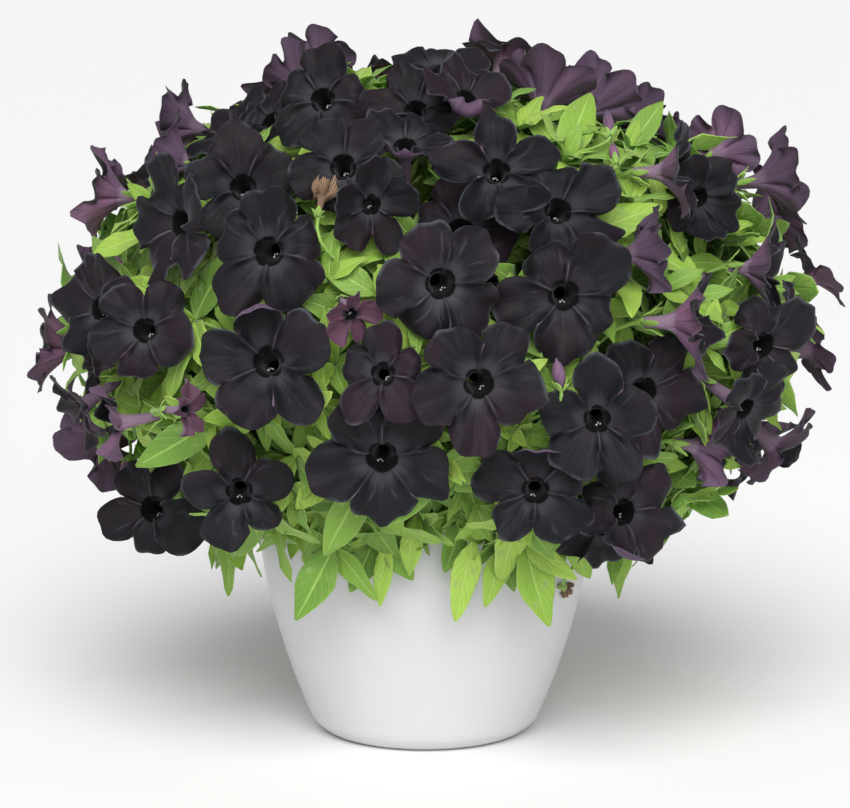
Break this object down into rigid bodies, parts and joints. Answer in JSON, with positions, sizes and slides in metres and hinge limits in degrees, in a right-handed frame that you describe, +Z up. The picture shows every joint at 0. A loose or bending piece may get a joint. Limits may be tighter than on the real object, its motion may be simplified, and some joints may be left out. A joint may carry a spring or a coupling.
{
  "type": "potted petunia",
  "caption": "Mounded petunia with near-black trumpet flowers and lime-green leaves, filling a plain round white pot that stands on a flat foot.",
  "frame": {"origin": "middle of the pot's flat foot, on the surface that it stands on", "axes": "+Z up along the pot's axis, -Y towards the side that the picture shows, +X to that view's right"},
  "size_m": [0.4274, 0.382, 0.3717],
  "materials": {
    "pot": "white satin moulded plastic",
    "soil": "dark crumbly potting mix",
    "leafy": "soft matt hairy leaf, yellow-green, paler along its veins",
    "petals": "near-black velvety petal with a mauve back"
  },
  "bodies": {
    "root": {"flower_spray_01": "petals", "flower_spray_02": "petals", "flower_spray_03": "petals", "flower_spray_04": "petals", "flower_spray_05": "petals", "flower_spray_06": "petals", "flower_spray_07": "petals", "flower_spray_08": "petals", "flower_spray_09": "petals", "flower_spray_10": "petals", "flower_spray_11": "petals", "flower_spray_12": "petals", "flower_spray_13": "petals", "flower_spray_14": "petals", "flower_spray_15": "petals", "flower_spray_16": "petals", "flower_spray_17": "petals", "flower_spray_18": "petals", "flower_spray_19": "petals", "flower_spray_20": "petals", "flower_spray_21": "petals", "flower_spray_22": "petals", "flower_spray_23": "petals", "flower_spray_24": "petals", "flower_spray_25": "petals", "flower_spray_26": "petals", "flower_spray_27": "petals", "flower_spray_28": "petals", "flower_spray_29": "petals", "flower_spray_30": "petals", "flower_spray_31": "petals", "flower_spray_32": "petals", "flower_spray_33": "petals", "flower_spray_34": "petals", "flower_spray_35": "petals", "flower_spray_36": "petals", "leafy_stem_01": "leafy", "leafy_stem_02": "leafy", "leafy_stem_03": "leafy", "leafy_stem_04": "leafy", "leafy_stem_05": "leafy", "leafy_stem_06": "leafy", "leafy_stem_07": "leafy", "leafy_stem_08": "leafy", "leafy_stem_09": "leafy", "leafy_stem_10": "leafy", "leafy_stem_11": "leafy", "leafy_stem_12": "leafy", "leafy_stem_13": "leafy", "leafy_stem_14": "leafy", "pot": "pot", "soil": "soil"}
  },
  "joints": []
}
